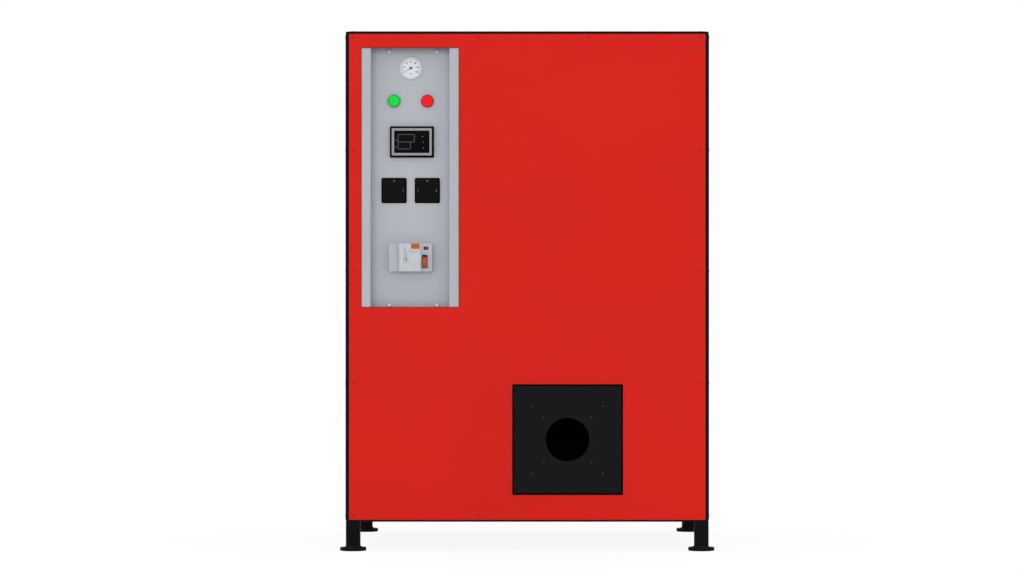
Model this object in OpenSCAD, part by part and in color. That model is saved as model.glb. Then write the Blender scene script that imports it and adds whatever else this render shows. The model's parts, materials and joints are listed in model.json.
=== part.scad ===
// Floor-standing boiler: a square tube frame on four legs, closed by screwed sheet panels,
// with a recessed control tray and a burner mounting plate in its front.
// Millimetres, +Z up, front towards -Y, origin on the floor under the middle of the frame.

/* [Frame] */
// Width of the tube frame
frame_w = 900; // [780:10:1200]
// Depth of the tube frame
frame_d = 700; // [620:10:1000]
// Height of the tube frame from its underside to its top
frame_h = 1216; // [1100:10:1500]
// Clear height from the floor to the underside of the frame
leg_h = 72; // [40:1:150]
// Outside of the square tube
tube = 35; // [30:1:50]
// Wall of the square tube
tube_wall = 2; // [1.5:0.5:4]
// Outside corner radius of the square tube
tube_r = 3; // [2:0.5:6]
// Diameter of a round foot plate
foot_dia = 65; // [55:1:100]
// Thickness of a round foot plate
foot_t = 8; // [3:1:12]
// Distance between the two cross rails under the furnace
cross_rail_pitch = 380; // [200:10:440]

/* [Sheet panels] */
// Thickness of the panel sheets
sheet = 1.2; // [0.8:0.1:2]
// Frame left showing beside a panel
panel_side_inset = 8; // [2:1:15]
// Frame left showing above a panel
panel_top_inset = 6; // [2:1:15]
// Frame left showing below a panel
panel_bottom_inset = 5; // [2:1:15]
// Gap between the floor sheet and the corner posts
floor_sheet_gap = 1; // [0.5:0.5:5]

/* [Control recess] */
// Width of the opening in the front panel
opening_w = 241; // [236:1:250]
// Height of the opening in the front panel
opening_h = 642; // [620:1:680]
// Left edge of the opening in from the left side of the frame
opening_side = 39; // [39:0.5:70]
// Top edge of the opening below the top of the frame
opening_drop = 41; // [40:1:60]
// Width of the recessed web of the tray
web_w = 195; // [185:1:205]
// Depth of the web behind the flanges of the tray
tray_depth = 45; // [42:1:60]
// Thickness of the tray's sheet
tray_sheet = 1.5; // [1:0.1:3]
// How far the tray's flanges lap behind the front panel
flange_lap = 3; // [1:0.5:4]
// How far the tray reaches past the top and the bottom of the opening
tray_end_lap = 4; // [2:0.5:5]

/* [Gauge] */
// Middle of the gauge below the top of the opening
gauge_drop = 47; // [38:1:60]
// Diameter of the gauge bezel
gauge_dia = 55.5; // [48:0.5:60]
// How far the gauge bezel stands out of the web
gauge_proud = 5; // [4:0.5:8]
// Width of the bezel's rim around the glass
gauge_rim = 2; // [2:0.5:4]
// Depth of the gauge housing behind the web
gauge_rear = 22; // [12:1:40]
// Angle of the pointer from straight up, clockwise
pointer_angle = -122; // [-122:1:122]

/* [Pilot lights] */
// Middle of the pilot lights below the top of the opening
lamp_drop = 129; // [120:1:140]
// Distance between the left and the right instrument of a pair
pair_pitch = 83; // [75:1:100]
// Diameter of a pilot light
lamp_dia = 31; // [24:1:34]
// Width of the ring around the lens
lamp_ring_w = 2.5; // [1.5:0.5:4]
// How far a pilot light stands out of the web
lamp_proud = 8; // [5:0.5:14]
// Diameter of the barrel behind a pilot light
lamp_barrel_dia = 22; // [16:1:22]
// Length of the barrel behind a pilot light
lamp_rear = 35; // [20:1:60]

/* [Controller] */
// Middle of the controller below the top of the opening
controller_drop = 231; // [215:1:245]
// Middle of the controller to the right of the middle of the opening
controller_shift = 3; // [-5:0.5:5]
// Width of the controller's front
controller_w = 108; // [100:1:140]
// Height of the controller's front
controller_h = 76; // [65:1:90]
// How far the controller's front stands out of the web
controller_proud = 12; // [8:1:20]
// Width of the black rim around the grey bezel
controller_rim = 4; // [2:0.5:5]
// Width of the grey bezel around the screen
bezel_w = 6; // [5:0.5:10]
// Depth of the controller's housing behind the web
controller_rear = 40; // [20:1:60]

/* [Switches] */
// Middle of the switch plates below the top of the opening
switch_drop = 352; // [335:1:365]
// Side of a square switch plate
switch_w = 61; // [50:1:64]
// Thickness of a switch plate
switch_t = 6; // [3:0.5:10]
// Corner radius of a switch plate
switch_r = 3; // [1:0.5:8]
// Side of the square contact block behind a switch plate
contact_w = 45; // [30:1:48]
// Depth of the contact block behind the web
contact_rear = 55; // [30:1:80]

/* [Breaker] */
// Middle of the breaker below the top of the opening
breaker_drop = 519; // [500:1:540]
// Width of the breaker
breaker_w = 108; // [104:1:120]
// Height of the breaker
breaker_h = 70; // [66:1:80]
// Corner radius of the breaker's body
breaker_r = 4; // [1:0.5:6]
// How far the breaker's shoulder stands out of the web
shoulder_proud = 22; // [18:1:26]
// How far the breaker's toggle strip stands out of its shoulder
strip_proud = 4; // [2:0.5:6]
// How far the breaker's cover stands out of its shoulder
cover_proud = 10; // [6:0.5:12]
// Width of the left shoulder
shoulder_w = 24; // [18:1:28]
// Width of the strip that holds the toggle
strip_w = 28; // [26:1:34]
// Radius of the toggle's drum
drum_r = 17; // [12:0.5:17.5]
// Width of the toggle's drum
drum_w = 12.5; // [10:0.5:16]
// Depth of the toggle's axle behind the face of its strip
axle_depth = 7; // [6.5:0.5:9]
// Length of the toggle's lever past its drum
lever_len = 4; // [2:0.5:6]
// Thickness of the toggle's lever
lever_t = 2.5; // [1.5:0.5:4]
// How much narrower the lever is than its drum, on each side
lever_inset = 1; // [0.5:0.5:3]
// Angle of the lever above the horizontal at rest
lever_angle = 50; // [40:1:52]
// Clearance around the drum
drum_gap = 0.6; // [0.4:0.1:1.5]
// Diameter of the toggle's axle
axle_dia = 4; // [3:0.5:6]
// Radial clearance of the toggle's axle
axle_gap = 0.1; // [0.05:0.05:0.2]

/* [Burner mounting] */
// Middle of the burner to the right of the middle of the frame
burner_x = 100; // [-20:5:150]
// Middle of the burner above the underside of the frame
burner_rise = 204; // [195:1:300]
// Side of the square burner plate
plate_w = 266; // [250:1:320]
// Thickness of the burner plate
plate_t = 8; // [6:1:12]
// How far the burner plate stands out of the front panel
plate_proud = 5; // [1:0.5:6]
// Gap between the burner plate and its hole in the front panel
plate_gap = 3; // [1:0.5:8]
// Diameter of the bore for the burner's tube
bore_dia = 108; // [80:1:120]
// Diameter of a bolt hole
bolt_hole_dia = 8.5; // [6.5:0.5:11]
// Width between the inner bolt holes
inner_pitch_x = 118; // [110:1:124]
// Height between the inner bolt holes
inner_pitch_z = 111; // [108:1:120]
// Width between the outer bolt holes
outer_pitch_x = 174; // [160:1:190]
// Height between the outer bolt holes
outer_pitch_z = 167; // [155:1:180]

/* [Furnace] */
// Outside diameter of the furnace
furnace_dia = 292; // [260:2:310]
// Wall of the furnace
furnace_wall = 6; // [3:0.5:10]
// Length of the furnace
furnace_len = 560; // [460:10:580]
// Outside diameter of the insulating sleeve behind the burner plate
sleeve_dia = 146; // [130:1:150]
// Length of the insulating sleeve
sleeve_len = 60; // [40:1:80]
// Radial clearance of the sleeve around the burner's tube
sleeve_gap = 2; // [1:0.5:6]
// Width of a saddle under the furnace
saddle_w = 200; // [120:5:240]
// Thickness of a saddle's plate
saddle_t = 10; // [6:1:20]

/* [Hidden] */
$fn = 64;

frame_black = [0.06, 0.06, 0.065];
panel_red = [0.82, 0.10, 0.08];
tray_grey = [0.66, 0.68, 0.71];

frame_top = leg_h + frame_h;
front_y = -frame_d / 2;
post_x = frame_w / 2 - tube / 2;
post_y = frame_d / 2 - tube / 2;
rail_x = frame_w - 2 * tube;
rail_y = frame_d - 2 * tube;
panel_h = frame_h - panel_top_inset - panel_bottom_inset;
panel_z = leg_h + panel_bottom_inset;
floor_z = leg_h + tube;
opening_top = frame_top - opening_drop;
opening_x = -frame_w / 2 + opening_side + opening_w / 2;
web_y = front_y + tray_depth;
// Clearance of a housing in its cut-out in the web
cutout_gap = 0.4;
// Overrun of a cut past the solid that it goes through
cut = 1;

burner_z = leg_h + burner_rise;
plate_front = front_y - sheet - plate_proud;
plate_back = plate_front + plate_t;
sleeve_back = plate_back + sleeve_len;

gauge_z = opening_top - gauge_drop;
gauge_barrel_dia = gauge_dia - 3;
gauge_front = web_y - gauge_proud;
glass_t = 1.5;
glass_front = gauge_front + 1;
dial_t = 1;
dial_front = glass_front + glass_t + 4;
glass_ledge = 1;
glass_dia = gauge_dia - 2 * gauge_rim;
dial_dia = glass_dia - 2 * glass_ledge;
seat_gap = 0.15;
hub_dia = 6;
hub_t = 1.6;
pointer_t = 0.8;
arbor_dia = 2;

lamp_z = opening_top - lamp_drop;
lens_dia = lamp_dia - 2 * lamp_ring_w;
lens_seat = 3;
lens_proud = 0.8;

controller_x = opening_x + controller_shift;
controller_z = opening_top - controller_drop;
controller_front = web_y - controller_proud;
bezel_depth = 4;
screen_inset = 1;
controller_rear_step = 8;

switch_z = opening_top - switch_drop;
spindle_dia = 22;
contact_gap = 2;

breaker_z = opening_top - breaker_drop;
breaker_left = opening_x - breaker_w / 2;
shoulder_y = web_y - shoulder_proud;
strip_y = shoulder_y - strip_proud;
cover_y = shoulder_y - cover_proud;
strip_left = breaker_left + breaker_w - strip_w;
cover_left = breaker_left + shoulder_w;
cover_w = breaker_w - shoulder_w - strip_w;
toggle_margin = 3.5;
toggle_lower = 10.5;
toggle_x = strip_left + toggle_margin + drum_w / 2;
toggle_y = strip_y + axle_depth;
toggle_z = breaker_z - toggle_lower;
axle_reach = 3;
inlay_t = 0.6;
window_w = 11.5;
window_h = 8;
window_drop = 8;
window_x = toggle_x + 3;

// A square with round corners, centred.
module round_square(side, r) {
    square([side - 2 * r, side], center = true);
    square([side, side - 2 * r], center = true);
    for (x = [-1, 1], y = [-1, 1]) translate([x, y] * (side / 2 - r)) circle(r);
}

// A square tube with round outer corners along Z, centred on X and Y, with its low end at z = 0.
module square_tube(length) {
    difference() {
        linear_extrude(length) round_square(tube, tube_r);
        translate([0, 0, -cut]) linear_extrude(length + 2 * cut)
            square(tube - 2 * tube_wall, center = true);
    }
}

// A cylinder along Y whose ends lie at two depths.
module round_y(dia, front, back) {
    translate([0, back, 0]) rotate([90, 0, 0]) cylinder(d = dia, h = back - front);
}

// A plate facing -Y with round corners, centred on X and Z, whose faces lie at two depths.
module plate_y(w, h, r, front, back) {
    translate([0, back, 0]) rotate([90, 0, 0]) linear_extrude(back - front) {
        square([w - 2 * r, h], center = true);
        square([w, h - 2 * r], center = true);
        for (x = [-1, 1], z = [-1, 1])
            translate([x * (w / 2 - r), z * (h / 2 - r)]) circle(r);
    }
}

// A block facing -Y, centred on X and Z, whose faces lie at two depths.
module block_y(w, h, front, back) {
    translate([-w / 2, front, -h / 2]) cube([w, back - front, h]);
}

// Round holes along Y at the corners of a rectangle.
module hole_rectangle(pitch_x, pitch_z, dia, front, back) {
    for (x = [-1, 1], z = [-1, 1])
        translate([x * pitch_x / 2, 0, z * pitch_z / 2]) round_y(dia, front, back);
}

module post(side_x, side_y) {
    color(frame_black)
        translate([side_x * post_x, side_y * post_y, foot_t]) square_tube(frame_top - foot_t);
}

module foot(side_x, side_y) {
    color(frame_black)
        translate([side_x * post_x, side_y * post_y, 0]) cylinder(d = foot_dia, h = foot_t);
}

// A rail from post to post along X, at a place in Y, with its underside at z.
module rail_across(y, z) {
    color(frame_black)
        translate([-rail_x / 2, y, z + tube / 2]) rotate([0, 90, 0]) square_tube(rail_x);
}

// A rail from post to post along Y, at a place in X, with its underside at z.
module rail_along(x, z) {
    color(frame_black)
        translate([x, rail_y / 2, z + tube / 2]) rotate([90, 0, 0]) square_tube(rail_y);
}

module cross_rails() {
    for (side = [-1, 1]) rail_across(side * cross_rail_pitch / 2, leg_h);
}

module front_panel() {
    w = frame_w - 2 * panel_side_inset;
    color(panel_red) difference() {
        translate([-w / 2, front_y - sheet, panel_z]) cube([w, sheet, panel_h]);
        translate([opening_x - opening_w / 2, front_y - sheet - cut, opening_top - opening_h])
            cube([opening_w, sheet + 2 * cut, opening_h]);
        translate([burner_x, 0, burner_z])
            block_y(plate_w + 2 * plate_gap, plate_w + 2 * plate_gap,
                    front_y - sheet - cut, front_y + cut);
    }
}

module side_panel(side) {
    d = frame_d - 2 * panel_side_inset;
    color(panel_red)
        translate([side * (frame_w + sheet) / 2 - sheet / 2, -d / 2, panel_z])
            cube([sheet, d, panel_h]);
}

module back_panel() {
    w = frame_w - 2 * panel_side_inset;
    color(panel_red) translate([-w / 2, frame_d / 2, panel_z]) cube([w, sheet, panel_h]);
}

module top_panel() {
    w = frame_w - 2 * panel_side_inset;
    d = frame_d - 2 * panel_side_inset;
    color(panel_red) translate([-w / 2, -d / 2, frame_top]) cube([w, d, sheet]);
}

module floor_sheet() {
    w = rail_x - 2 * floor_sheet_gap;
    d = frame_d - 2 * floor_sheet_gap;
    color("dimgray") translate([-w / 2, -d / 2, floor_z]) cube([w, d, sheet]);
}

// A tray with a flange down each side, an end wall above and below, and its cut-outs.
module control_tray() {
    inner_h = opening_h + 2 * tray_end_lap;
    outer_h = inner_h + 2 * tray_sheet;
    mid_z = opening_top - opening_h / 2;
    color(tray_grey) translate([opening_x, 0, 0]) difference() {
        translate([0, 0, mid_z]) union() {
            block_y(opening_w + 2 * flange_lap, outer_h, front_y, front_y + tray_sheet);
            block_y(web_w + 2 * tray_sheet, outer_h, front_y, web_y + tray_sheet);
        }
        translate([0, 0, mid_z]) block_y(web_w, inner_h, front_y - cut, web_y);
        translate([0, 0, gauge_z])
            round_y(gauge_barrel_dia + 2 * cutout_gap, web_y - cut, web_y + tray_sheet + cut);
        for (side = [-1, 1]) translate([side * pair_pitch / 2, 0, 0]) {
            translate([0, 0, lamp_z])
                round_y(lamp_barrel_dia + 2 * cutout_gap, web_y - cut, web_y + tray_sheet + cut);
            translate([0, 0, switch_z])
                round_y(spindle_dia + 2 * cutout_gap, web_y - cut, web_y + tray_sheet + cut);
        }
        translate([controller_shift, 0, controller_z])
            block_y(controller_w - 2 * controller_rear_step + 2 * cutout_gap,
                    controller_h - 2 * controller_rear_step + 2 * cutout_gap,
                    web_y - cut, web_y + tray_sheet + cut);
    }
}

module gauge_case() {
    color("gray") translate([opening_x, 0, gauge_z]) difference() {
        union() {
            round_y(gauge_dia, gauge_front, web_y);
            round_y(gauge_barrel_dia, web_y - cut, web_y + gauge_rear);
        }
        round_y(glass_dia + 2 * seat_gap, gauge_front - cut, glass_front + glass_t);
        round_y(dial_dia + 2 * seat_gap, gauge_front - cut, dial_front + dial_t);
    }
}

module gauge_dial() {
    color("white") translate([opening_x, 0, gauge_z]) {
        round_y(dial_dia, dial_front, dial_front + dial_t);
        round_y(arbor_dia, dial_front - hub_t - 2 * seat_gap, dial_front + dial_t);
    }
}

// A hub on the dial's arbor, with a tapered hand and a short tail.
module gauge_pointer() {
    hand = dial_dia / 2 - 4;
    back = dial_front - seat_gap;
    color("black") translate([opening_x, 0, gauge_z]) rotate([0, pointer_angle, 0])
        difference() {
            union() {
                round_y(hub_dia, back - hub_t, back);
                translate([0, back - (hub_t - pointer_t) / 2, 0]) rotate([90, 0, 0])
                    linear_extrude(pointer_t)
                        polygon([[-1.4, -6], [1.4, -6], [1.1, 0], [0.4, hand], [-0.4, hand], [-1.1, 0]]);
            }
            round_y(arbor_dia + 2 * axle_gap, back - hub_t - cut, back + cut);
        }
}

module gauge_glass() {
    color([0.9, 0.95, 1, 0.3]) translate([opening_x, 0, gauge_z])
        round_y(glass_dia, glass_front, glass_front + glass_t);
}

module lamp_ring(side, tone) {
    color(tone) translate([opening_x + side * pair_pitch / 2, 0, lamp_z]) difference() {
        union() {
            round_y(lamp_dia, web_y - lamp_proud, web_y);
            round_y(lamp_barrel_dia, web_y - cut, web_y + lamp_rear);
        }
        round_y(lens_dia + 2 * seat_gap, web_y - lamp_proud - cut, web_y - lamp_proud + lens_seat);
    }
}

module lamp_lens(side, tone) {
    color(tone) translate([opening_x + side * pair_pitch / 2, 0, lamp_z])
        round_y(lens_dia, web_y - lamp_proud - lens_proud, web_y - lamp_proud + lens_seat);
}

module controller_housing() {
    color("black") translate([controller_x, 0, controller_z]) difference() {
        union() {
            plate_y(controller_w, controller_h, 4, controller_front, web_y);
            block_y(controller_w - 2 * controller_rear_step, controller_h - 2 * controller_rear_step,
                    web_y - cut, web_y + controller_rear);
        }
        block_y(controller_w - 2 * controller_rim, controller_h - 2 * controller_rim,
                controller_front - cut, controller_front + bezel_depth);
    }
}

module controller_bezel() {
    w = controller_w - 2 * controller_rim - 2 * seat_gap;
    h = controller_h - 2 * controller_rim - 2 * seat_gap;
    color("darkgray") translate([controller_x, 0, controller_z]) difference() {
        block_y(w, h, controller_front - screen_inset, controller_front + bezel_depth);
        block_y(w - 2 * bezel_w, h - 2 * bezel_w,
                controller_front - 2 * cut, controller_front + bezel_depth + cut);
    }
}

module controller_screen() {
    w = controller_w - 2 * controller_rim - 2 * bezel_w - 4 * seat_gap;
    h = controller_h - 2 * controller_rim - 2 * bezel_w - 4 * seat_gap;
    color("black") translate([controller_x, 0, controller_z])
        block_y(w, h, controller_front, controller_front + bezel_depth);
}

// A square front plate, the spindle through the web and the contact block behind it.
module switch_plate(side) {
    color([0.09, 0.09, 0.09])
        translate([opening_x + side * pair_pitch / 2, 0, switch_z]) {
            plate_y(switch_w, switch_w, switch_r, web_y - switch_t, web_y);
            round_y(spindle_dia, web_y - cut, web_y + tray_sheet + contact_gap + cut);
            block_y(contact_w, contact_w, web_y + tray_sheet + contact_gap,
                    web_y + contact_rear);
        }
}

// The low body with its left shoulder and, on the right, the strip with the toggle's pocket.
module breaker_body() {
    color("gainsboro") difference() {
        intersection() {
            translate([opening_x, 0, breaker_z])
                plate_y(breaker_w, breaker_h, breaker_r, strip_y, web_y);
            union() {
                translate([breaker_left, shoulder_y, breaker_z - breaker_h / 2 - cut])
                    cube([breaker_w, shoulder_proud + cut, breaker_h + 2 * cut]);
                translate([strip_left, strip_y - cut, breaker_z - breaker_h / 2 - cut])
                    cube([strip_w + cut, shoulder_proud + strip_proud + 2 * cut, breaker_h + 2 * cut]);
            }
        }
        translate([toggle_x, toggle_y, toggle_z]) {
            toggle_axle(drum_w + 2 * drum_gap, 2 * (drum_r + drum_gap));
            toggle_axle(drum_w + 2 * (axle_reach + drum_gap), axle_dia + 2 * axle_gap);
        }
        translate([window_x, strip_y, breaker_z + breaker_h / 2 - window_drop - window_h / 2])
            block_y(window_w, window_h, -cut, inlay_t);
    }
}

module toggle_axle(length, dia) {
    translate([-length / 2, 0, 0]) rotate([0, 90, 0]) cylinder(d = dia, h = length);
}

module breaker_cover() {
    color("white")
        translate([cover_left, cover_y, breaker_z - breaker_h / 2])
            cube([cover_w, cover_proud, breaker_h]);
}

module breaker_window() {
    color("darkred")
        translate([window_x, strip_y, breaker_z + breaker_h / 2 - window_drop - window_h / 2])
            block_y(window_w - 2 * seat_gap, window_h - 2 * seat_gap, 0, inlay_t);
}

// A drum on its axle with a short lever that rises from it.
module breaker_toggle() {
    color("orangered") translate([toggle_x, toggle_y, toggle_z]) {
        toggle_axle(drum_w, 2 * drum_r);
        toggle_axle(drum_w + 2 * axle_reach, axle_dia);
        rotate([-lever_angle, 0, 0])
            translate([-drum_w / 2 + lever_inset, -drum_r - lever_len, -lever_t / 2])
                cube([drum_w - 2 * lever_inset, drum_r, lever_t]);
    }
}

module burner_plate() {
    color(frame_black) translate([burner_x, 0, burner_z]) difference() {
        block_y(plate_w, plate_w, plate_front, plate_back);
        round_y(bore_dia, plate_front - cut, plate_back + cut);
        hole_rectangle(inner_pitch_x, inner_pitch_z, bolt_hole_dia, plate_front - cut, plate_back + cut);
        hole_rectangle(outer_pitch_x, outer_pitch_z, bolt_hole_dia, plate_front - cut, plate_back + cut);
    }
}

module burner_sleeve() {
    color("darkslategray") translate([burner_x, 0, burner_z]) difference() {
        round_y(sleeve_dia, plate_back, sleeve_back);
        round_y(bore_dia + 2 * sleeve_gap, plate_back - cut, sleeve_back + cut);
    }
}

// A closed drum lying along Y whose front end has the hole for the burner's tube.
module furnace() {
    color("dimgray") translate([burner_x, 0, burner_z]) difference() {
        round_y(furnace_dia, sleeve_back, sleeve_back + furnace_len);
        round_y(furnace_dia - 2 * furnace_wall, sleeve_back + furnace_wall,
                sleeve_back + furnace_len - furnace_wall);
        round_y(bore_dia + 2 * sleeve_gap, sleeve_back - cut, sleeve_back + furnace_wall + cut);
    }
}

module furnace_saddles() {
    saddle_h = burner_z - floor_z - sheet - furnace_dia / 4;
    color("dimgray") difference() {
        for (side = [-1, 1])
            translate([burner_x - saddle_w / 2, side * cross_rail_pitch / 2 - saddle_t / 2,
                       floor_z + sheet])
                cube([saddle_w, saddle_t, saddle_h]);
        translate([burner_x, 0, burner_z])
            round_y(furnace_dia + 2 * seat_gap, front_y, frame_d / 2);
    }
}

post(-1, -1);  // post_front_left
post(1, -1);  // post_front_right
post(-1, 1);  // post_rear_left
post(1, 1);  // post_rear_right
foot(-1, -1);  // foot_front_left
foot(1, -1);  // foot_front_right
foot(-1, 1);  // foot_rear_left
foot(1, 1);  // foot_rear_right
rail_across(-post_y, frame_top - tube);  // top_rail_front
rail_across(post_y, frame_top - tube);  // top_rail_rear
rail_along(-post_x, frame_top - tube);  // top_rail_left
rail_along(post_x, frame_top - tube);  // top_rail_right
rail_across(-post_y, leg_h);  // bottom_rail_front
rail_across(post_y, leg_h);  // bottom_rail_rear
rail_along(-post_x, leg_h);  // bottom_rail_left
rail_along(post_x, leg_h);  // bottom_rail_right
cross_rails();
front_panel();
side_panel(-1);  // left_panel
side_panel(1);  // right_panel
back_panel();
top_panel();
floor_sheet();
control_tray();
gauge_case();
gauge_dial();
gauge_pointer();
gauge_glass();
lamp_ring(-1, [0.15, 0.55, 0.25]);  // green_lamp_ring
lamp_lens(-1, [0.14, 0.87, 0.30]);  // green_lamp_lens
lamp_ring(1, [0.60, 0.08, 0.12]);  // red_lamp_ring
lamp_lens(1, [1.0, 0.16, 0.18]);  // red_lamp_lens
controller_housing();
controller_bezel();
controller_screen();
switch_plate(-1);  // switch_plate_left
switch_plate(1);  // switch_plate_right
breaker_body();
breaker_cover();
breaker_window();
breaker_toggle();
burner_plate();
burner_sleeve();
furnace();
furnace_saddles();
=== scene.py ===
"""Finishes and small parts of a floor-standing boiler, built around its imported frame.

Shapes are worked out in millimetres. They become metres where they go into a mesh.
"""

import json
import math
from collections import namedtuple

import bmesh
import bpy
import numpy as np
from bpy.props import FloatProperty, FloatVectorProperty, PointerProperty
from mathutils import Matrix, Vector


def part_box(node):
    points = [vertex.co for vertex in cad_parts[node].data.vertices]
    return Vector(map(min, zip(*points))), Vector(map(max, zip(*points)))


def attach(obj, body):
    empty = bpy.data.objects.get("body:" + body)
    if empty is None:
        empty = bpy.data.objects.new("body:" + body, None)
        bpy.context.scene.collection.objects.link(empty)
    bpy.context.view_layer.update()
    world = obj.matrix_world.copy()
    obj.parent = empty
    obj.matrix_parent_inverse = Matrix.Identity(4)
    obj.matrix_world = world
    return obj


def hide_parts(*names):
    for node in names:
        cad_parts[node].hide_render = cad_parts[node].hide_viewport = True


bl_info = {
    "name": "Floor-standing boiler",
    "version": (1, 0, 0),
    "blender": (4, 5, 0),
    "location": "3D View > Sidebar > Boiler",
    "description": "Builds the finishes and the small parts of a floor-standing boiler",
    "category": "Object",
}

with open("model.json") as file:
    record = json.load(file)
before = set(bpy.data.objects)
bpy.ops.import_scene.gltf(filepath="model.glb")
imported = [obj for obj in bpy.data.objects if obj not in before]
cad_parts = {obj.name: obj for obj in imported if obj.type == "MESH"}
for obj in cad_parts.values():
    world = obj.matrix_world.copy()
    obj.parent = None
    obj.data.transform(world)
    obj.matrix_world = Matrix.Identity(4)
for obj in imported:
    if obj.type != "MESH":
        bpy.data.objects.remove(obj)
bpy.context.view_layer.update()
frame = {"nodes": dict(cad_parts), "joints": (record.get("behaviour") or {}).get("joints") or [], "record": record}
NODES = frame["nodes"]
MM = 0.001
FULL_TURN, HALF_TURN, QUARTER_TURN = 2 * math.pi, math.pi, math.pi / 2
CORNERS = ("front_left", "front_right", "rear_left", "rear_right")
Spot = namedtuple("Spot", "x y z")


class Box:
    """A frame node's lowest and highest corner, its width and height, and its middle seen from the front."""

    def __init__(self, node):
        self.low, self.high = (Spot(*(part / MM for part in corner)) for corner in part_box(node))
        self.width, self.height = self.high.x - self.low.x, self.high.z - self.low.z
        self.middle = np.array([self.low.x + self.high.x, self.low.z + self.high.z]) / 2


# The square tube of the frame: its wall and its outside corner
TUBE_WALL = 2
TUBE_CORNER = 3

# Screws in the cabinet's panels, in from the low corner of each panel
SCREW_INSET = 11
SCREW_ROWS = (11, 339, 617, 918, 1197)
FRONT_COLUMNS = (11, 319, 596, 873)

# The tray: its sheet, the middle of its side walls out from its own middle, how far its flanges lie
# behind the front panel, the bottom and top of the panel's opening, and the front face of its web
TRAY_SHEET = 1.5
TRAY_WALL = 98.25
FLANGE_LAP = 3
TRAY_OPENING = (605, 1247)
WEB = Box("control_tray").high.y - TRAY_SHEET

# The tray's screws: across from its middle, and up
TRAY_COLUMNS = (-53.4, 65.4)
TRAY_ROWS = (1242.3, 608.9)

# Gap between the burner plate and its hole in the front panel
PLATE_GAP = 3


def linear(red, green, blue):
    """A screen colour of 0 to 255 as the light it stands for."""
    value = np.array([red, green, blue]) / 255
    return tuple(np.where(value > 0.04045, ((value + 0.055) / 1.055) ** 2.4, value / 12.92).tolist())


def length(name, description, millimetres):
    """A size that can be set in the sidebar."""
    return FloatProperty(name=name, description=description, default=millimetres * MM, min=0.0, unit="LENGTH")


def colour(name, description, red, green, blue):
    """A colour that can be set in the sidebar."""
    return FloatVectorProperty(name=name, description=description, default=linear(red, green, blue),
                               subtype="COLOR", size=3, min=0.0, max=1.0)


class BoilerSizes(bpy.types.PropertyGroup):
    """Sizes of the small parts."""

    screw_head: length("Panel screw head", "Diameter of the heads that hold the panels", 9.0)
    screw_height: length("Panel screw height", "How far a panel screw's head stands out", 1.2)
    tray_screw_head: length("Tray screw head", "Diameter of the heads that hold the tray", 8.6)
    tray_washer: length("Tray washer", "Diameter of the black washers under the tray's screws", 9.7)
    weld_leg: length("Weld size", "Leg of the weld between a post and its foot", 3.2)
    tray_bend: length("Tray bend", "Radius inside the tray's folds", 1.2)
    plate_edge: length("Burner plate edge", "Rounding of the burner plate's edges", 0.4)
    edging_lap: length("Edging lap", "How far the edging round the burner plate laps the panel", 1.3)
    plug_screw: length("Plug screw", "Diameter of the plug screws in the burner plate's holes", 5.8)
    dome: length("Lens dome", "How far a pilot light's lens is domed", 1.8)
    lens_lap: length("Lens lap", "How far a pilot light's collar laps its lens", 1.0)
    dial_number: length("Dial numbers", "Height of the numbers on the gauge", 4.2)
    window_line: length("Display outline", "Width of the outline round a display window", 2.1)


class BoilerColours(bpy.types.PropertyGroup):
    """Colours of the boiler's finishes."""

    panel: colour("Panels", "Powder coat of the cabinet's panels", 208, 26, 14)
    frame: colour("Frame", "Powder coat of the tubes and feet", 18, 18, 19)
    burner: colour("Burner plate", "Heat-resistant paint of the burner plate", 14, 14, 17)
    tray: colour("Control tray", "Paint of the control tray", 177, 180, 186)
    green: colour("Green lens", "Lens of the left pilot light", 6, 212, 58)
    green_ring: colour("Green ring", "Ring of the left pilot light", 44, 160, 84)
    red: colour("Red lens", "Lens of the right pilot light", 246, 18, 24)
    red_ring: colour("Red ring", "Ring of the right pilot light", 178, 18, 30)
    bezel: colour("Controller bezel", "Grey band of the controller", 150, 151, 155)
    plastic_black: colour("Black plastic", "Housings and switch plates", 14, 14, 15)
    breaker: colour("Breaker body", "Grey moulding of the breaker", 176, 180, 186)
    cover: colour("Breaker cover", "Off-white moulding of the breaker", 189, 193, 198)
    orange: colour("Breaker orange", "Insert of the breaker", 190, 90, 43)
    drum: colour("Toggle drum", "Orange drum of the breaker's toggle", 163, 77, 53)


def chosen(context):
    """The sizes, in millimetres, and the colours, as they are set in the sidebar."""
    names = list(BoilerSizes.__annotations__)
    values = (getattr(context.scene.boiler_sizes, name) / MM for name in names)
    return namedtuple("Sizes", names)(*values), context.scene.boiler_colours


# ---------------------------------------------------------------- surfaces

def signed_volume(points, faces):
    """Six times the volume within: the sum of a . (b x c) over fans of triangles."""
    total = 0.0
    for corners in (points[face] for face in faces):
        first = np.broadcast_to(corners[:, :1], corners[:, 2:].shape)
        total += np.sum(first * np.cross(corners[:, 1:-1], corners[:, 2:]))
    return total


def skin(rings, loop=False):
    """A closed surface over rings of points, an array of rows, columns and x, y, z.

    The face at row i and column j takes points j and j + 1 of rings i and i + 1, and each ring
    meets its own start. Flat caps close the first and the last ring, or the rings form a loop.
    """
    rows, columns, _ = rings.shape
    index = np.arange(rows * columns).reshape(rows, columns)
    near, far = (index, np.roll(index, -1, 0)) if loop else (index[:-1], index[1:])
    quads = np.stack([near, np.roll(near, -1, 1), np.roll(far, -1, 1), far], -1).reshape(-1, 4)
    caps = [] if loop else [index[0][::-1], index[-1]]
    points = rings.reshape(-1, 3)
    if signed_volume(points, [quads] + [cap[None] for cap in caps]) < 0:
        quads, caps = quads[:, ::-1], [cap[::-1] for cap in caps]
    return points, quads, caps


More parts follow.
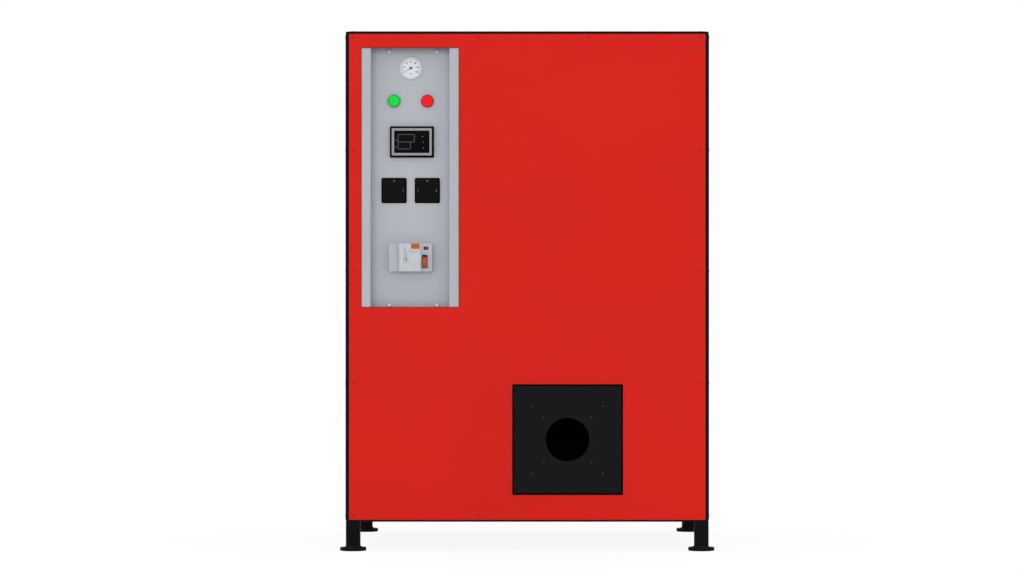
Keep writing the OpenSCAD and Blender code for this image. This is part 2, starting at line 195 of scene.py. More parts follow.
def turned(surface, matrix, place=(0, 0, 0)):
    """The surface turned by a rotation matrix and then moved."""
    points, quads, caps = surface
    return points @ np.array(matrix).T + np.array(place), quads, caps


def gather(surfaces):
    """Several surfaces as one, the faces of each counted on from the points before it."""
    points, quads, caps = zip(*surfaces)
    starts = np.cumsum([0] + [len(part) for part in points])
    return (np.concatenate(points), np.concatenate([part + start for part, start in zip(quads, starts)]),
            [cap + start for part, start in zip(caps, starts) for cap in part])


def copies(surface, places, turns=None, facing=Matrix.Identity(3)):
    """The surface once at each place: spun about Y, turned to face another way, and moved there."""
    spins = np.zeros(len(places)) if turns is None else turns
    return gather([turned(turned(surface, Matrix.Rotation(spin, 3, "Y")), facing, place)
                   for spin, place in zip(spins, places)])


def lay(across, up, along, axis):
    """Plane coordinates and a third one along an axis, as x, y, z. Along Y, up is z."""
    order = {"X": (along, across, up), "Y": (across, along, up), "Z": (across, up, along)}[axis]
    return np.stack(np.broadcast_arrays(*order), -1)


def circle(steps):
    """Angles of even steps once round."""
    return np.linspace(0, FULL_TURN, steps, endpoint=False)


def round_rectangle(width, height, corner, steps=6):
    """Outline of a rectangle: each corner is its centre plus corner (cos t, sin t) over a quarter turn."""
    corner = max(corner, 0.02)
    turn = np.linspace(0, QUARTER_TURN, steps + 1) + QUARTER_TURN * np.arange(4)[:, None]
    side = np.array([[1, 1], [-1, 1], [-1, -1], [1, -1]]) * [width / 2 - corner, height / 2 - corner]
    return np.stack([side[:, :1] + corner * np.cos(turn), side[:, 1:] + corner * np.sin(turn)], -1).reshape(-1, 2)


def eased(edge, face, outward=-1, steps=4):
    """Section of a rounded edge: inset edge (1 - cos t), and edge (1 - sin t) short of the face."""
    turn = np.linspace(0, QUARTER_TURN, steps + 1)
    return list(zip(edge * (1 - np.cos(turn)), face - outward * edge * (1 - np.sin(turn))))


def lip(reach, thick):
    """Section of a thin lip that lies on the tray's web and reaches out past the side of its part."""
    return [(-reach, WEB), (-reach, WEB - thick), (0, WEB - thick - 0.3)]


def around(radius, section):
    """A section of (inset, along) as one of (radius, along)."""
    return [(radius - inset, along) for inset, along in section]


def banded(width, height, corner, section, centre, axis="Y", loop=False):
    """A section of (inset, along) carried round a rectangle with round corners.

    Each ring is the rectangle less twice the inset, with the corner's radius less the inset.
    """
    rings = [lay(*(round_rectangle(width - 2 * inset, height - 2 * inset, corner - inset) + centre).T, along, axis)
             for inset, along in section]
    return skin(np.stack(rings), loop)


def slab(width, height, corner, edge, face, back, centre):
    """A plate facing -Y whose front edge is rounded."""
    return banded(width, height, corner, [(0, back)] + eased(edge, face), centre)


def outline_band(width, height, corner, line, face, back, centre):
    """A flat raised line round a rectangle with round corners."""
    return banded(width, height, corner, [(0, back), (0, face), (line, face), (line, back)], centre, loop=True)


def lathe(section, centre=(0, 0, 0), axis="Y", steps=64, loop=False):
    """A section of (radius, along) turned round an axis: centre plus radius (cos t, sin t)."""
    radius, along = np.array(section, float).T[:, :, None]
    turn = circle(steps)
    return skin(lay(radius * np.cos(turn), radius * np.sin(turn), along, axis) + np.array(centre), loop)


def prism(outline, face, back, centre=(0, 0)):
    """A flat outline of (across, up) carried straight along Y from its back to its face."""
    flat = np.asarray(outline, float) + centre
    return skin(np.stack([lay(*flat.T, along, "Y") for along in (back, face)]))


def bar(start, end, width, face, back):
    """A straight flat stroke between two points of (across, up)."""
    start, end = np.array(start, float), np.array(end, float)
    side = (end - start)[::-1] * [-1, 1] / np.linalg.norm(end - start) * width / 2
    return prism([start - side, end - side, end + side, start + side], face, back)


def arc(radius, line, low, high, face, back, centre, steps=48):
    """A flat curved stroke: radius (sin t, cos t) out along its outer edge and back along its inner one."""
    turn = np.linspace(low, high, steps)
    edge = np.stack([np.sin(turn), np.cos(turn)], -1)
    return prism(np.concatenate([edge * (radius + line / 2), edge[::-1] * (radius - line / 2)]), face, back, centre)


def screw_head(diameter, height, arm=0.62, steps=40):
    """A pan head facing -Y with a cross recess.

    At a share s of its radius the head is height (1 - s^4)^(1/2) tall. The recess takes away a
    depth that fades from full to none across the edges of two crossed bands.
    """
    share = np.sin(np.linspace(QUARTER_TURN, 0.02, 14))[:, None]
    across, up = share * np.cos(circle(steps)), share * np.sin(circle(steps))
    narrow, wide = np.minimum(abs(across), abs(up)), np.maximum(abs(across), abs(up))
    cross = np.clip((0.17 - narrow) / 0.08, 0, 1) * np.clip((arm - wide) / 0.12, 0, 1)
    tall = height * (np.sqrt(1 - share ** 4) - 0.75 * cross * (1 - 0.4 * wide))
    return skin(lay(across * diameter / 2, up * diameter / 2, -tall, "Y"))


def placed(name, data):
    """A new object in the scene."""
    thing = bpy.data.objects.new(name, data)
    bpy.context.scene.collection.objects.link(thing)
    return thing


def reworked(mesh, *steps):
    """Merges the doubled points of a mesh and carries out steps on it."""
    work = bmesh.new()
    work.from_mesh(mesh)
    bmesh.ops.remove_doubles(work, verts=work.verts, dist=1e-6)
    for step in steps:
        step(work)
    work.to_mesh(mesh)
    work.free()


def lettering(text, height, thickness, place, weight=0.0):
    """Plain figures facing -Y with their middle at a place, as a closed mesh.

    The weight widens each stroke both ways.
    """
    curve = bpy.data.curves.new("lettering", "FONT")
    curve.body, curve.size, curve.extrude, curve.offset = text, height * 1.4 * MM, thickness / 2 * MM, weight * MM
    curve.align_x, curve.align_y, curve.resolution_u = "CENTER", "CENTER", 3
    holder = placed("lettering", curve)
    mesh = bpy.data.meshes.new_from_object(holder.evaluated_get(bpy.context.evaluated_depsgraph_get()))
    bpy.data.objects.remove(holder)
    reworked(mesh, lambda work: bmesh.ops.recalc_face_normals(work, faces=work.faces))
    points = np.zeros(len(mesh.vertices) * 3)
    mesh.vertices.foreach_get("co", points)
    caps = [np.array(face.vertices) for face in mesh.polygons]
    points = points.reshape(-1, 3)
    points[:, :2] -= (points[:, :2].max(0) + points[:, :2].min(0)) / 2
    return turned((points / MM, np.zeros((0, 4), int), caps), Matrix.Rotation(QUARTER_TURN, 3, "X"), place)


def settle(piece, finish, stands_for, body="boiler"):
    """Gives a piece its finish and its place on the model."""
    piece.data.materials.clear()
    piece.data.materials.append(finish)
    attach(piece, body)
    if stands_for:
        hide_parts(*stands_for)
    return piece


def add_piece(name, surfaces, finish, stands_for=(), body="boiler", sharp=35):
    """One object from closed surfaces: their grids are shaded smooth up to an angle, their caps flat."""
    points, quads, caps = gather(surfaces)
    mesh = bpy.data.meshes.new(name)
    mesh.from_pydata((points * MM).tolist(), [], quads.tolist() + [cap.tolist() for cap in caps])
    mesh.polygons.foreach_set("use_smooth", np.arange(len(mesh.polygons)) < len(quads))
    mesh.set_sharp_from_angle(angle=math.radians(sharp))
    return settle(placed(name, mesh), finish, stands_for, body)


def merged(name, node, *steps):
    """A copy of a frame node whose loose triangles are merged into flat faces before the steps."""
    mesh = NODES[node].data.copy()
    mesh.name = name
    reworked(mesh, lambda work: bmesh.ops.dissolve_limit(work, angle_limit=math.radians(1), verts=work.verts,
                                                         edges=work.edges), *steps)
    return placed(name, mesh)


def softened(name, node, edge, finish):
    """A copy of a frame node whose edges are rounded."""
    piece = merged(name, node)
    rounding = piece.modifiers.new("rounded edges", "BEVEL")
    rounding.width, rounding.segments, rounding.limit_method = edge * MM, 2, "ANGLE"
    rounding.angle_limit, rounding.harden_normals = math.radians(40), True
    piece.data.shade_smooth()
    piece.data.set_sharp_from_angle(angle=math.radians(40))
    return settle(piece, finish, [node])


def finish_nodes(finish, *nodes):
    """Gives frame nodes a finish through their own material slots."""
    for node in nodes:
        for place in NODES[node].material_slots:
            place.material = finish


# ---------------------------------------------------------------- finishes

def maths(operation):
    """An operator that adds a Math node, and its reflected form."""
    def join(nodes, *numbers):
        return nodes.node("ShaderNodeMath", {"operation": operation}, dict(enumerate(numbers)))

    return (lambda self, *other: join(self.nodes, self, *other)), (lambda self, other: join(self.nodes, other, self))


class Value:
    """A number that a node gives out. Arithmetic on it adds Math nodes."""

    __add__, __radd__ = maths("ADD")
    __sub__, __rsub__ = maths("SUBTRACT")
    __mul__, __rmul__ = maths("MULTIPLY")
    __abs__, _ = maths("ABSOLUTE")
    least, _ = maths("MINIMUM")

    def __init__(self, nodes, socket):
        self.nodes, self.socket = nodes, socket


class Nodes:
    """The nodes of one material or world."""

    def __init__(self, owner):
        owner.use_nodes = True
        self.owner, self.tree = owner, owner.node_tree
        self.tree.nodes.clear()

    def fill(self, socket, value):
        """Links a socket to a value that a node gives out, or sets it to a constant."""
        if isinstance(value, Value):
            self.tree.links.new(value.socket, socket)
        else:
            socket.default_value = value

    def node(self, kind, settings=None, inputs=None, output=0):
        """Adds a node: its settings come first, then the values or links of its sockets."""
        made = self.tree.nodes.new(kind)
        for name, value in (settings or {}).items():
            setattr(made, name, value)
        for name, value in (inputs or {}).items():
            self.fill(made.inputs[name], value)
        return Value(self, made.outputs[output] if made.outputs else None)

    def seen(self):
        """One for rays that show the background: those of the camera, and through or off glass and metal."""
        rays = [self.node("ShaderNodeLightPath", output=name)
                for name in ("Is Camera Ray", "Is Glossy Ray", "Is Transmission Ray")]
        return (rays[0] + rays[1] + rays[2]).least(1.0)


class Finish(Nodes):
    """A material on one Principled shader. Patterns follow the place on the object, in metres."""

    def __init__(self, name, tone, **sockets):
        super().__init__(bpy.data.materials.new(name))
        self.tone, self.shader = tone, self.tree.nodes.new("ShaderNodeBsdfPrincipled")
        self.set("Base Color", (*tone, 1))
        for key, value in sockets.items():
            self.set(key.replace("_", " ").title().replace("Ior", "IOR"), value)
        self.node("ShaderNodeOutputMaterial", None, {"Surface": Value(self, self.shader.outputs[0])})
        self.where = self.node("ShaderNodeTexCoord", output="Object")

    def set(self, name, value):
        """Sets or links a socket of the shader."""
        self.fill(self.shader.inputs[name], value)

    def noise(self, scale, detail=2.0, roughness=0.5):
        """Cloudy noise between 0 and 1, with so many patches to a metre."""
        return self.node("ShaderNodeTexNoise", None,
                         {"Vector": self.where, "Scale": scale, "Detail": detail, "Roughness": roughness})

    def cells(self, scale, output):
        """Random cells, so many to a metre: the colour of each, or the distance from its middle."""
        return self.node("ShaderNodeTexVoronoi", None, {"Vector": self.where, "Scale": scale}, output)

    def between(self, value, low, high):
        """0 below low, 1 above high and a smooth step between."""
        return self.node("ShaderNodeMapRange", {"interpolation_type": "SMOOTHSTEP"},
                         {"Value": value, "From Min": low, "From Max": high})

    def blend(self, first, second, share):
        """A colour that goes from the first to the second with the share.

        A number in the place of a colour stands for that much of the finish's own tone.
        """
        colours = {}
        for key, tone in ((6, first), (7, second)):
            tone = scaled(self.tone, tone) if isinstance(tone, float) else tone
            colours[key] = tone if isinstance(tone, Value) else (*tone, 1)
        return self.node("ShaderNodeMix", {"data_type": "RGBA"}, {0: share, **colours}, 2)

    def facing(self, axis):
        """Part of the outward direction along an axis: 1 on faces that look along it, -1 on those that look back."""
        normal = self.node("ShaderNodeNewGeometry", output="Normal")
        return self.node("ShaderNodeSeparateXYZ", None, {"Vector": normal}, "XYZ".index(axis))

    def made(self, shade, roughness, height=None, depth=0.0):
        """The material with its colour, its roughness, and a bump of a depth in millimetres."""
        self.set("Base Color", shade)
        self.set("Roughness", roughness)
        if height:
            bump = {"Strength": 1.0, "Distance": depth * MM, "Height": height}
            self.set("Normal", self.node("ShaderNodeBump", None, bump))
        return self.owner


def scaled(tone, factor):
    """A colour made lighter or darker."""
    return tuple(min(1.0, part * factor) for part in tone)


def powder_coat(name, tone, roughness, specular, peel=0.03, dust_and_shade=0.0, sheet=None):
    """Baked powder coat: faint cloudy tone, a rough skin like orange peel and a little dust on top faces.

    A sheet is given by the axis across it and the tone of its sealed cut edges.
    """
    coat = Finish(name, tone, specular_ior_level=specular)
    cloud, grain = coat.noise(3.0, 3.0), coat.noise(420.0)
    shade = coat.blend(0.965, 1.035, coat.between(cloud, 0.3, 0.7))
    if dust_and_shade:
        settled = coat.between(coat.facing("Z"), 0.6, 0.95) * coat.between(coat.noise(60.0, 4.0), 0.35, 0.7) * dust_and_shade
        shade = coat.blend(shade, linear(120, 114, 108), settled)
        sheen = roughness + 0.3 * settled + 0.06 * cloud
    else:
        sheen = roughness + 0.08 * cloud + 0.03 * grain
    if sheet:
        axis, edge = sheet
        shade = coat.blend(edge, shade, coat.between(abs(coat.facing(axis)), 0.5, 0.8))
    return coat.made(shade, sheen, grain + 0.35 * coat.noise(1500.0, 1.0), peel)


def moulded(name, tone, roughness=0.42, specular=0.35):
    """Moulded plastic: a fine spark-eroded grain and a slightly uneven sheen."""
    plastic = Finish(name, tone, specular_ior_level=specular)
    speckle, patch = plastic.noise(2600.0, 1.0), plastic.noise(45.0, 3.0)
    shade = plastic.blend(0.95, 1.05, plastic.between(patch, 0.3, 0.7))
    return plastic.made(shade, roughness + 0.12 * (patch - 0.5) + 0.05 * speckle, speckle, 0.012)


def plated(name, tone, roughness, scale, metallic):
    """Plated or turned metal under a satin finish: a fine grain and some cloudy staining."""
    metal = Finish(name, tone, metallic=metallic)
    grain, cloud = metal.noise(scale, 3.0, 0.6), metal.between(metal.noise(30.0, 4.0), 0.35, 0.7)
    shade = metal.blend(1.05, 0.88, 0.6 * grain + 0.4 * cloud)
    return metal.made(shade, roughness + 0.14 * (grain - 0.5) + 0.08 * cloud, grain, 0.006)


def galvanised(name, tone):
    """Galvanised steel: flat crystals of slightly different tone."""
    metal = Finish(name, tone, metallic=0.9)
    crystal = metal.node("ShaderNodeSeparateColor", None, {"Color": metal.cells(110.0, "Color")})
    shade = metal.blend(0.78, 1.08, 0.7 * crystal + 0.3 * metal.noise(9.0, 3.0))
    return metal.made(shade, 0.42 + 0.18 * crystal, crystal, 0.01)


def lens(name, tone):
    """A coloured diffusing lens: glossy outside, with fine prisms that catch the light from within."""
    plastic = Finish(name, tone, specular_ior_level=0.15, emission_strength=0.12)
    prisms = plastic.cells(520.0, "Distance")
    lit = plastic.blend(0.88, 1.1, plastic.between(prisms, 0.1, 0.6))
    plastic.set("Emission Color", lit)
    return plastic.made(lit, 0.42, prisms, 0.02)


def pane(name, tone, alpha):
    """Clear glass or window plastic: seen through, with smears in its sheen."""
    glass = Finish(name, tone, specular_ior_level=0.5)
    smear = glass.between(glass.noise(35.0, 4.0), 0.45, 0.75)
    glass.set("Alpha", alpha + 0.02 * smear)
    return glass.made((*tone, 1), 0.04 + 0.06 * smear)


def gloss(name, tone, roughness, specular):
    """A polished dark face: even colour under a sheen that fingers have dulled in places."""
    face = Finish(name, tone, specular_ior_level=specular)
    patch = face.between(face.noise(60.0, 4.0), 0.4, 0.75)
    return face.made(face.blend(1.0, 1.25, patch), roughness + 0.06 * patch, face.noise(400.0, 1.0), 0.002)


def printed(name, tone):
    """Screen-printed ink: flat, matt and a little uneven."""
    ink = Finish(name, tone, specular_ior_level=0.2)
    spread = ink.noise(1800.0)
    return ink.made(ink.blend(0.9, 1.05, spread), 0.55 + 0.1 * spread)


def sooted(name, tone, scale, relief, roughness=0.9):
    """A surface that has met the flame: grey to black soot in clouds over a rough body."""
    body = Finish(name, tone, specular_ior_level=0.1)
    cloud = body.between(body.noise(scale, 5.0, 0.6), 0.3, 0.72)
    fibre = body.noise(scale * 12, 3.0)
    return body.made(body.blend(1.2, 0.35, cloud), roughness - 0.12 * fibre, fibre, relief)


# ---------------------------------------------------------------- operators

class BuildFrame(bpy.types.Operator):
    """Paints the tube frame and adds its feet, welds and post caps."""

    bl_idname = "boiler.build_frame"
    bl_label = "Frame and feet"

    def execute(self, context):
        sizes, colours = chosen(context)
        black = powder_coat("black powder coat", colours.frame, 0.55, 0.035, dust_and_shade=0.2)
        tubes = ("post_", "top_rail", "bottom_rail", "cross_rails")
        finish_nodes(black, *[node for node in NODES if node.startswith(tubes)])
        feet, welds, caps, leg = [], [], [], sizes.weld_leg
        for corner in CORNERS:
            foot, post = Box("foot_" + corner), Box("post_" + corner)
            centre, side, top = (post.middle[0], (post.low.y + post.high.y) / 2), post.width, foot.high.z
            section = around(foot.width / 2, eased(0.5, foot.low.z, -1)[::-1] + eased(0.5, top, 1))
            feet.append(lathe(section, (*centre, 0), "Z", 96))
            bead = [(-leg, top - 0.1), (-0.72 * leg, top + 0.42 * leg), (-0.36 * leg, top + 0.78 * leg),
                    (0, top + leg), (0.4, top + leg), (0.4, top - 0.1)]
            welds.append(self.rippled(bead, side, centre))
            width, face = side - 2 * TUBE_WALL - 0.2, post.high.z - 0.5
            caps.append(banded(width, width, 1, [(0, face - 2.5)] + eased(0.4, face, 1), centre, "Z"))
        add_piece("feet", feet, black, ["foot_" + corner for corner in CORNERS])
        add_piece("foot_welds", welds, black, sharp=70)
        add_piece("post_caps", caps, moulded("black cap plastic", colours.plastic_black))
        return {"FINISHED"}

    @staticmethod
    def rippled(section, side, centre, count=180, ripples=45):
        """A weld bead carried round a post: the section's inset swells and shrinks with a wave along the way."""
        rings = []
        for inset, along in section:
            outline = round_rectangle(side - 2 * inset, side - 2 * inset, TUBE_CORNER - inset, 12)
            closed = np.vstack([outline, outline[:1]])
            travel = np.concatenate([[0], np.cumsum(np.linalg.norm(np.diff(closed, axis=0), axis=1))])
            even = np.linspace(0, travel[-1], count, endpoint=False)
            line = np.stack([np.interp(even, travel, closed[:, part]) for part in (0, 1)], -1)
            wave = 1 + 0.012 * (inset < 0) * np.sin(even / travel[-1] * FULL_TURN * ripples)
            rings.append(lay(*(line * wave[:, None] + centre).T, along, "Z"))
        return skin(np.stack(rings), loop=True)


class BuildPanels(bpy.types.Operator):
    """Paints the cabinet's sheet panels and adds the screws that hold them."""

    bl_idname = "boiler.build_panels"
    bl_label = "Panels and their screws"

    def execute(self, context):
        sizes, colours = chosen(context)
        for axis, panels in (("Y", ["front_panel", "back_panel"]), ("X", ["left_panel", "right_panel"]),
                             ("Z", ["top_panel"])):
            finish_nodes(powder_coat("red sheet across " + axis, colours.panel, 0.4, 0.17, peel=0.02,
                                     sheet=(axis, colours.frame)), *panels)
        finish_nodes(galvanised("galvanised sheet", linear(178, 182, 186)), "floor_sheet")

        front, back, left, right, top = (Box(side + "_panel") for side in ("front", "back", "left", "right", "top"))
        rows = [front.low.z + row for row in SCREW_ROWS]
        columns = [front.low.x + column for column in FRONT_COLUMNS]
        depths = (left.low.y + SCREW_INSET, 0, left.high.y - SCREW_INSET)
        ends = (rows[0], rows[-1])
        broad = [(x, z) for z in rows for x in columns if z in ends or x in (columns[0], columns[-1])]
        side = [(y, z) for z in rows for y in depths if z in ends or y != 0]
        sides = [
            (0, "Z", [(x, front.low.y, z) for x, z in broad]),
            (HALF_TURN, "Z", [(-x, back.high.y, z) for x, z in broad]),
            (-QUARTER_TURN, "Z", [(left.low.x, y, z) for y, z in side]),
            (QUARTER_TURN, "Z", [(right.high.x, y, z) for y, z in side]),
            (-QUARTER_TURN, "X", [(x, y, top.high.z) for x in (top.low.x + SCREW_INSET, top.high.x - SCREW_INSET)
                                  for y in depths]),
        ]
        head = screw_head(sizes.screw_head, sizes.screw_height)
        heads = [copies(head, places, 0.6 * np.arange(len(places)) ** 1.3, Matrix.Rotation(turn, 3, axis))
                 for turn, axis, places in sides]
        paint = powder_coat("red screw paint", scaled(colours.panel, 0.86), 0.36, 0.2, peel=0.01)
        add_piece("panel_screws", heads, paint)
        return {"FINISHED"}


class BuildTray(bpy.types.Operator):
    """Rounds the folds of the control tray, paints light and shade on its web, and adds a dark band that paints a
    shadow line round its opening, its screws, and black washers that paint a shaded crescent beside each screw.
    """

    bl_idname = "boiler.build_tray"
    bl_label = "Control tray"

    def execute(self, context):
        sizes, colours = chosen(context)
        whole = Box("control_tray")
        low, high, (across, middle) = whole.low, whole.high, whole.middle

        def bend(work):
            """Rounds the long folds: the inside of a bend by one radius, its outside by that and the sheet."""
            inside, outside = [], []
            for edge in work.edges:
                start, end = (vert.co / MM for vert in edge.verts)
                if abs(start.z - end.z) > 600 and abs(abs(start.x - across) - TRAY_WALL) < TRAY_SHEET:
                    (inside if low.y + 0.1 < start.y < high.y - 0.1 else outside).append(edge)
            for edges, radius in ((inside, sizes.tray_bend), (outside, sizes.tray_bend + TRAY_SHEET)):
                bmesh.ops.bevel(work, geom=edges, offset=radius * MM, offset_type="OFFSET", segments=5, profile=0.5,
                                affect="EDGES")
            # A bevel leaves its faces in an order of its own each time. They are put in that of their lowest corners.
            work.verts.index_update()
            weights = len(work.verts) ** np.arange(3)[::-1]
            work.faces.sort(key=lambda face: np.dot(sorted(vert.index for vert in face.verts)[:3], weights))

        tray = merged("control_tray_sheet", "control_tray", bend)
        flat = [max(abs(part) for part in face.normal) > 0.9999 for face in tray.data.polygons]
        tray.data.polygons.foreach_set("use_smooth", np.logical_not(flat))
        settle(tray, self.paint(colours.tray), ["control_tray"])

        line, panel = 1.1, Box("front_panel").low.y
        width, (bottom, top) = whole.width - 2 * FLANGE_LAP, TRAY_OPENING
        # A thin dark band on the panel's face round the tray's opening: a painted shadow line where the panel's cut
        # edge meets the tray's flange
        shadow_line = outline_band(width + 2 * line, top - bottom + 2 * line, 0.4, line, panel - 0.12, panel + 0.3,
                            (across, (bottom + top) / 2))
        add_piece("tray_seal", [shadow_line], moulded("seal black", linear(34, 16, 16), 0.6, 0.02))

        places = [(across + x, WEB, z) for x in TRAY_COLUMNS for z in TRAY_ROWS]
        heads = copies(screw_head(sizes.tray_screw_head, 2.8), places, (0.3, 1.1, 0.75, 0.1))
        steel = plated("zinc screw", linear(240, 241, 246), 0.4, 1500.0, 0.15)
        add_piece("tray_screws", [heads], steel)

        # Black washers set off outwards from their screws, away from the middle of the tray: they paint a dark
        # crescent of shade beside each head
        radius, bore, thick, shade_shift = sizes.tray_washer / 2, 2.6, 0.8, 0.6
        washer = lathe([(radius, 0), (radius, 0.3 - thick), (radius - 0.3, -thick), (bore, -thick), (bore, 0)],
                       steps=48, loop=True)
        shade_places = [(x, y, z + math.copysign(shade_shift, z - middle)) for x, y, z in places]
        add_piece("tray_washers", [copies(washer, shade_places)], moulded("washer rubber", linear(30, 26, 30), 0.7, 0.03))
        return {"FINISHED"}

    @staticmethod
    def paint(tone):
        """The tray's powder coat, in metres: the web is painted a little lighter than the flanges, painted light
        against the shade of its recess, and painted shade darkens it towards its side and end walls.
        """
        low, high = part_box("control_tray")
        coat = Finish("tray paint", tone, specular_ior_level=0.2)
        grain, cloud = coat.noise(420.0), coat.noise(4.0, 3.0)
        across, depth, up = (coat.node("ShaderNodeSeparateXYZ", None, {"Vector": coat.where}, part)
                             for part in range(3))
        middle, half = (low + high) / 2, (high.z - low.z) / 2
        side, rise = abs(across - middle.x), abs(up - middle.z)
        recessed = coat.between(depth, high.y - 8 * MM, high.y - 3 * MM)
        shade = coat.blend(0.975, 1.025, coat.between(cloud, 0.3, 0.7))
        # Painted light: the web, at the back of the recess, is painted lighter than the flanges
        shade = coat.blend(shade, 1.09, 0.7 * recessed)
        # Painted shade: the web darkens a little towards its side walls and more towards its top and bottom ends,
        # where the recess is in shade
        folds = 0.3 * coat.between(side, 80 * MM, 97 * MM) + coat.between(rise, half - 26 * MM, half - 2 * MM)
        dust_and_shade = (recessed * folds).least(1.0)
        return coat.made(coat.blend(shade, 0.86, dust_and_shade), 0.5 + 0.08 * cloud + 0.1 * dust_and_shade, grain, 0.015)


class BuildGauge(bpy.types.Operator):
    """Adds the gauge's bezel, its printed dial, and the needle and hub of its pointer."""

    bl_idname = "boiler.build_gauge"
    bl_label = "Gauge"

    def execute(self, context):
        sizes, _ = chosen(context)
        case, glass, dial, pointer = (Box("gauge_" + part) for part in ("case", "glass", "dial", "pointer"))
        across, up = dial.middle
        axis = (across, 0, up)
        outer, clear, face = case.width / 2, glass.width / 2 + 0.1, dial.high.y - 1
        back, front = case.high.y, case.low.y
        bezel = ([(outer - 2.5, back), (outer - 1.5, back - 1), (outer - 1.5, WEB), (outer, WEB)]
                 + around(outer, eased(0.6, front))
                 + [(clear + 0.3, front), (clear, front + 0.3), (clear, face + 0.3)])
        add_piece("gauge_bezel", [lathe(bezel, axis, steps=96)],
                  plated("gauge steel", linear(224, 226, 230), 0.42, 1400.0, 0.35), ["gauge_case"])
        finish_nodes(printed("dial enamel", linear(232, 235, 240)), "gauge_dial")
        finish_nodes(pane("gauge glass", (1.0, 1.0, 1.0), 0.05), "gauge_glass")

        # The scale runs the same way round to each side of the top. Its ticks start from its outer line.
        radius, sweep, ink = dial.width / 2, math.radians(122), face - 0.06
        rim, reach = 0.93, 0.665 * radius
        marks = [arc(radius * rim, 0.25, -sweep, sweep, ink, face, (across, up))]
        for count, start, line in ((61, 0.88, 0.3), (13, 0.81, 0.8)):
            tick = prism(round_rectangle(line, radius * (rim - start), 0.02), ink, face,
                         (0, radius * (rim + start) / 2))
            marks.append(copies(tick, [axis] * count, np.linspace(-sweep, sweep, count)))
        for step in range(7):
            turn = -sweep + step * sweep / 3
            place = (across + reach * math.sin(turn), face - 0.03, up + reach * math.cos(turn))
            marks.append(lettering(str(20 * step), sizes.dial_number, 0.06, place, 0.08))
        marks.append(lettering("°C", 4.2, 0.06, (across, face - 0.03, up - 0.58 * radius), 0.12))
        add_piece("gauge_marks", marks, printed("dial ink", linear(44, 48, 56)))

        front, tip = pointer.low.y, 0.72 * radius
        needle = prism([(-0.7, -6), (0.7, -6), (0.25, tip), (-0.25, tip)], front + 0.3, front + 0.8)
        add_piece("gauge_needle", [turned(needle, Matrix.Rotation(-sweep, 3, "Y"), axis)],
                  moulded("needle grey", linear(104, 108, 114), 0.45), ["gauge_pointer"])
        hub = [(3.1, front + 0.8)] + [(3.1 * math.cos(turn), front - 0.9 * math.sin(turn))
                                      for turn in np.linspace(0, 1.5, 8)]
        add_piece("gauge_hub", [lathe(hub, axis, steps=32)], moulded("pointer black", linear(22, 23, 26), 0.4))
        return {"FINISHED"}


class BuildLamps(bpy.types.Operator):
    """Adds the collars and domed lenses of the two pilot lights."""

    bl_idname = "boiler.build_lamps"
    bl_label = "Pilot lights"

    def execute(self, context):
        sizes, colours = chosen(context)
        for name in ("green", "red"):
            ring, dome = Box(name + "_lamp_ring"), Box(name + "_lamp_lens")
            axis = (dome.middle[0], 0, dome.middle[1])
            clear, front, back = dome.width / 2, ring.low.y, ring.high.y
            seen, ledge = clear - sizes.lens_lap, dome.low.y + 0.9
            collar = (around(ring.width / 2, lip(0.7, 0.8) + eased(0.6, front))
                      + [(seen + 0.3, front), (seen, front + 0.25), (seen, ledge), (clear + 0.1, ledge),
                         (clear + 0.1, WEB)])
            barrel = [(11, WEB), (11, back - 1), (10, back)]
            add_piece(name + "_lamp_collar", [lathe(collar, axis, loop=True), lathe(barrel, axis, steps=32)],
                      moulded(name + " collar", getattr(colours, name + "_ring"), 0.3),
                      [name + "_lamp_ring"])
            share = np.linspace(1, 0.01, 26)
            grooves = 0.09 * np.sin(60 * share) * (share > 0.45)
            rise = sizes.dome * (1 - share ** 2) + grooves
            section = ([(clear, dome.high.y), (clear, ledge + 0.1), (seen - 0.1, ledge + 0.1)]
                       + list(zip((seen - 0.1) * share, dome.low.y + 0.6 - rise)))
            add_piece(name + "_lamp_dome", [lathe(section, axis)], lens(name + " lens", getattr(colours, name)),
                      [name + "_lamp_lens"], sharp=60)
        return {"FINISHED"}


